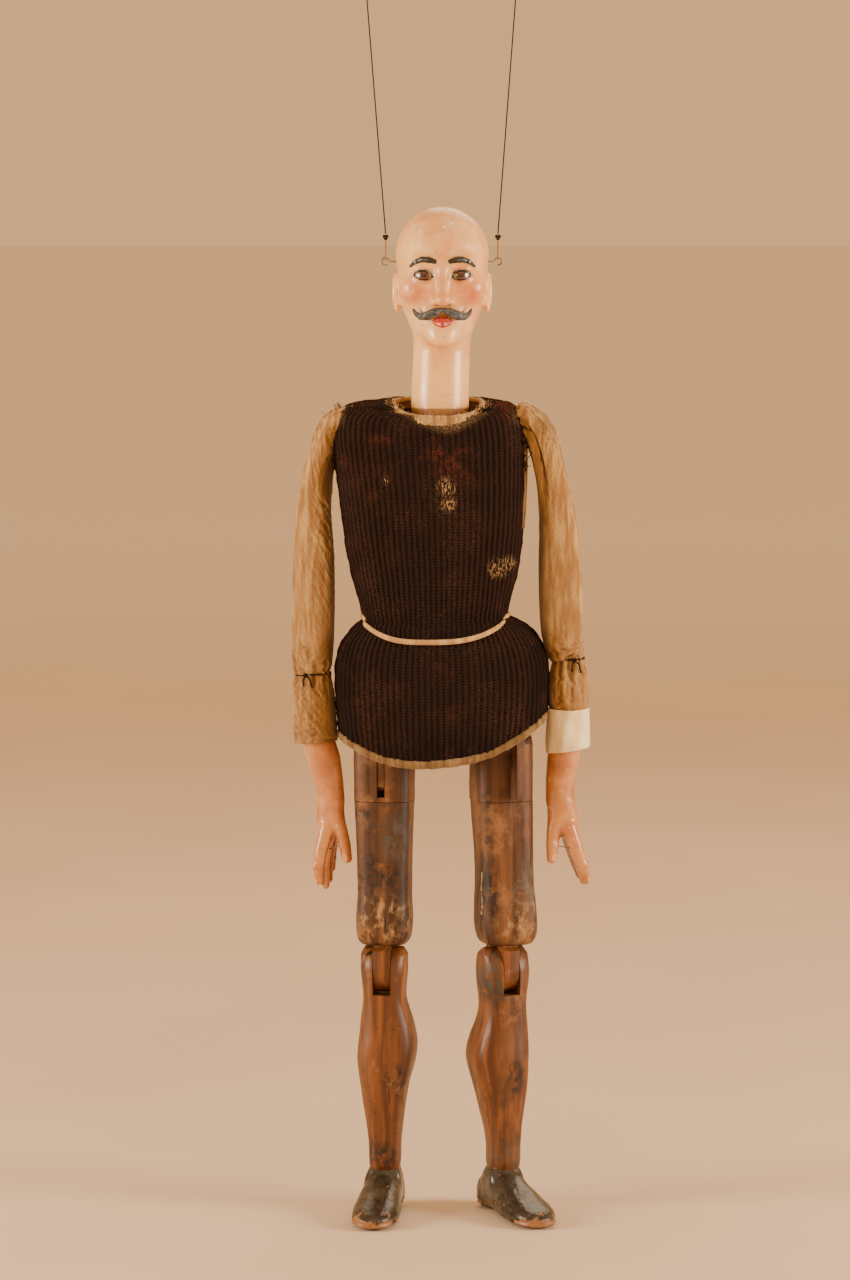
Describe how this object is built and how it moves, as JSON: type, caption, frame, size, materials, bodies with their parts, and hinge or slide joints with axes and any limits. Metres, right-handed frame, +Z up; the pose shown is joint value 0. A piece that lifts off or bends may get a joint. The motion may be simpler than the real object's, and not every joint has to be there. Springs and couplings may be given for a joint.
{
  "type": "string marionette",
  "caption": "Carved wooden string marionette of a bald man with a moustache, in a knitted jersey, with cloth arms, wooden legs and painted shoes.",
  "frame": {"origin": "the hanging point, midway between the two loops at the top of the strings", "axes": "+X is the viewer's right, +Y is the figure's back, +Z is up. The figure faces -Y."},
  "size_m": [0.2139, 0.1138, 0.886],
  "materials": {
    "right_string": "twisted thread",
    "right_string_knot": "twisted thread",
    "right_eye_loop": "twisted thread",
    "right_hanging_loop": "twisted thread",
    "left_string": "twisted thread",
    "left_string_knot": "twisted thread",
    "left_eye_loop": "twisted thread",
    "left_hanging_loop": "twisted thread",
    "head": "carved wood, glossy flesh paint, flaked",
    "right_screw_eye": "dull iron wire",
    "left_hook": "dull iron wire",
    "neck_swivel": "dull iron wire",
    "chest_block": "bare softwood",
    "calico_cover": "unbleached calico, frayed",
    "jersey_upper": "coarse rib knit, worn",
    "collar_binding": "unbleached calico, frayed",
    "neck_staple": "dull iron wire",
    "waist_staple": "dull iron wire",
    "right_shoulder_staple": "dull iron wire",
    "left_shoulder_staple": "dull iron wire",
    "waist_swivel": "dull iron wire",
    "waist_cloth": "coarse rib knit, worn",
    "waist_tape": "cotton tape",
    "pelvis_block": "bare softwood",
    "jersey_lower": "coarse rib knit, worn",
    "hem_binding": "folded binding",
    "right_shoulder_link": "dull iron wire",
    "right_upper_sleeve": "stuffed calico",
    "right_elbow_tie": "twisted thread",
    "right_forearm_hand": "carved wood, glossy flesh paint",
    "right_lower_sleeve": "stuffed calico",
    "right_hand_wire": "dull iron wire",
    "right_hip_tongue": "bare hardwood",
    "right_thigh": "stained wood, scuffed",
    "right_thigh_fork": "stained wood, scuffed",
    "right_hip_pin": "dull iron wire",
    "right_knee_tongue": "bare hardwood",
    "right_shin": "varnished orange-brown wood",
    "right_knee_pin": "dull iron wire",
    "right_ankle_tongue": "bare hardwood",
    "right_shoe": "carved wood, worn black paint",
    "right_ankle_pin": "dull iron wire",
    "left_shoulder_link": "dull iron wire",
    "left_upper_sleeve": "stuffed calico",
    "left_elbow_tie": "twisted thread",
    "left_forearm_hand": "carved wood, glossy flesh paint",
    "left_lower_sleeve": "stuffed calico",
    "left_hand_wire": "dull iron wire",
    "left_cuff": "white cotton",
    "left_hip_tongue": "bare hardwood",
    "left_thigh": "stained wood, scuffed",
    "left_thigh_fork": "stained wood, scuffed",
    "left_hip_pin": "dull iron wire",
    "left_knee_tongue": "bare hardwood",
    "left_thigh_wire": "dull iron wire",
    "left_shin": "varnished orange-brown wood",
    "left_knee_pin": "dull iron wire",
    "left_ankle_tongue": "bare hardwood",
    "left_shoe": "carved wood, worn black paint",
    "left_ankle_pin": "dull iron wire"
  },
  "bodies": {
    "strings": {"right_string": "right_string", "right_string_knot": "right_string_knot", "right_eye_loop": "right_eye_loop", "right_hanging_loop": "right_hanging_loop", "left_string": "left_string", "left_string_knot": "left_string_knot", "left_eye_loop": "left_eye_loop", "left_hanging_loop": "left_hanging_loop"},
    "head": {"head": "head", "right_screw_eye": "right_screw_eye", "left_hook": "left_hook"},
    "neck_link": {"neck_swivel": "neck_swivel"},
    "chest": {"chest_block": "chest_block", "calico_cover": "calico_cover", "jersey_upper": "jersey_upper", "collar_binding": "collar_binding", "neck_staple": "neck_staple", "waist_staple": "waist_staple", "right_shoulder_staple": "right_shoulder_staple", "left_shoulder_staple": "left_shoulder_staple"},
    "waist_link": {"waist_swivel": "waist_swivel", "waist_cloth": "waist_cloth", "waist_tape": "waist_tape"},
    "pelvis": {"pelvis_block": "pelvis_block", "jersey_lower": "jersey_lower", "hem_binding": "hem_binding"},
    "right_shoulder_link": {"right_shoulder_link": "right_shoulder_link"},
    "right_upper_arm": {"right_upper_sleeve": "right_upper_sleeve", "right_elbow_tie": "right_elbow_tie"},
    "right_forearm": {"right_forearm_hand": "right_forearm_hand", "right_lower_sleeve": "right_lower_sleeve", "right_hand_wire": "right_hand_wire"},
    "right_hip_link": {"right_hip_tongue": "right_hip_tongue"},
    "right_thigh": {"right_thigh": "right_thigh", "right_thigh_fork": "right_thigh_fork", "right_hip_pin": "right_hip_pin", "right_knee_tongue": "right_knee_tongue"},
    "right_shin": {"right_shin": "right_shin", "right_knee_pin": "right_knee_pin", "right_ankle_tongue": "right_ankle_tongue"},
    "right_foot": {"right_shoe": "right_shoe", "right_ankle_pin": "right_ankle_pin"},
    "left_shoulder_link": {"left_shoulder_link": "left_shoulder_link"},
    "left_upper_arm": {"left_upper_sleeve": "left_upper_sleeve", "left_elbow_tie": "left_elbow_tie"},
    "left_forearm": {"left_forearm_hand": "left_forearm_hand", "left_lower_sleeve": "left_lower_sleeve", "left_hand_wire": "left_hand_wire", "left_cuff": "left_cuff"},
    "left_hip_link": {"left_hip_tongue": "left_hip_tongue"},
    "left_thigh": {"left_thigh": "left_thigh", "left_thigh_fork": "left_thigh_fork", "left_hip_pin": "left_hip_pin", "left_knee_tongue": "left_knee_tongue", "left_thigh_wire": "left_thigh_wire"},
    "left_shin": {"left_shin": "left_shin", "left_knee_pin": "left_knee_pin", "left_ankle_tongue": "left_ankle_tongue"},
    "left_foot": {"left_shoe": "left_shoe", "left_ankle_pin": "left_ankle_pin"}
  },
  "joints": [
    {"name": "head_rock", "type": "hinge", "parent": "strings", "child": "head", "pos_m": [0, 0, -0.2019], "axis": [-1, 0, 0], "range_deg": [-35, 35]},
    {"name": "head_turn", "type": "hinge", "parent": "head", "child": "neck_link", "pos_m": [0, 0, -0.326], "axis": [0, 0, 1], "range_deg": [-60, 60]},
    {"name": "neck_nod", "type": "hinge", "parent": "neck_link", "child": "chest", "pos_m": [0, 0, -0.326], "axis": [-1, 0, 0], "range_deg": [-12, 12]},
    {"name": "waist_bend", "type": "hinge", "parent": "chest", "child": "waist_link", "pos_m": [0, 0, -0.459], "axis": [-1, 0, 0], "range_deg": [-14, 14], "deforming": ["waist_cloth", "waist_tape"]},
    {"name": "waist_twist", "type": "hinge", "parent": "waist_link", "child": "pelvis", "pos_m": [0, 0, -0.459], "axis": [0, 0, 1], "range_deg": [-15, 15]},
    {"name": "right_shoulder_swing", "type": "hinge", "parent": "chest", "child": "right_shoulder_link", "pos_m": [-0.078, 0, -0.326], "axis": [-1, 0, 0], "range_deg": [-40, 120]},
    {"name": "right_shoulder_raise", "type": "hinge", "parent": "right_shoulder_link", "child": "right_upper_arm", "pos_m": [-0.085, 0, -0.334], "axis": [0, 1, 0], "range_deg": [0, 80]},
    {"name": "right_elbow", "type": "hinge", "parent": "right_upper_arm", "child": "right_forearm", "pos_m": [-0.0905, 0, -0.496], "axis": [-1, 0, 0], "range_deg": [0, 95], "deforming": ["right_elbow_tie"]},
    {"name": "left_shoulder_swing", "type": "hinge", "parent": "chest", "child": "left_shoulder_link", "pos_m": [0.068, 0, -0.326], "axis": [-1, 0, 0], "range_deg": [-40, 120]},
    {"name": "left_shoulder_raise", "type": "hinge", "parent": "left_shoulder_link", "child": "left_upper_arm", "pos_m": [0.0785, 0, -0.334], "axis": [0, -1, 0], "range_deg": [0, 80]},
    {"name": "left_elbow", "type": "hinge", "parent": "left_upper_arm", "child": "left_forearm", "pos_m": [0.0918, 0, -0.486], "axis": [-1, 0, 0], "range_deg": [0, 95], "deforming": ["left_elbow_tie"]},
    {"name": "right_hip_turn", "type": "hinge", "parent": "pelvis", "child": "right_hip_link", "pos_m": [-0.0396, 0, -0.556], "axis": [0, 0, -1], "range_deg": [-15, 15]},
    {"name": "right_hip_swing", "type": "hinge", "parent": "right_hip_link", "child": "right_thigh", "pos_m": [-0.0396, 0, -0.556], "axis": [-0.9903, 0.1392, 0], "range_deg": [-30, 45]},
    {"name": "right_knee", "type": "hinge", "parent": "right_thigh", "child": "right_shin", "pos_m": [-0.0396, 0, -0.71], "axis": [0.9903, -0.1392, 0], "range_deg": [0, 85]},
    {"name": "right_ankle", "type": "hinge", "parent": "right_shin", "child": "right_foot", "pos_m": [-0.0396, 0, -0.86], "axis": [-0.9903, 0.1392, 0], "range_deg": [-22, 12]},
    {"name": "left_hip_turn", "type": "hinge", "parent": "pelvis", "child": "left_hip_link", "pos_m": [0.0448, 0, -0.556], "axis": [0, 0, 1], "range_deg": [-15, 15]},
    {"name": "left_hip_swing", "type": "hinge", "parent": "left_hip_link", "child": "left_thigh", "pos_m": [0.0448, 0, -0.556], "axis": [-0.9135, -0.4067, 0], "range_deg": [-30, 45]},
    {"name": "left_knee", "type": "hinge", "parent": "left_thigh", "child": "left_shin", "pos_m": [0.0448, 0, -0.71], "axis": [0.9135, 0.4067, 0], "range_deg": [0, 85]},
    {"name": "left_ankle", "type": "hinge", "parent": "left_shin", "child": "left_foot", "pos_m": [0.0448, 0, -0.86], "axis": [-0.9135, -0.4067, 0], "range_deg": [-22, 12]}
  ]
}
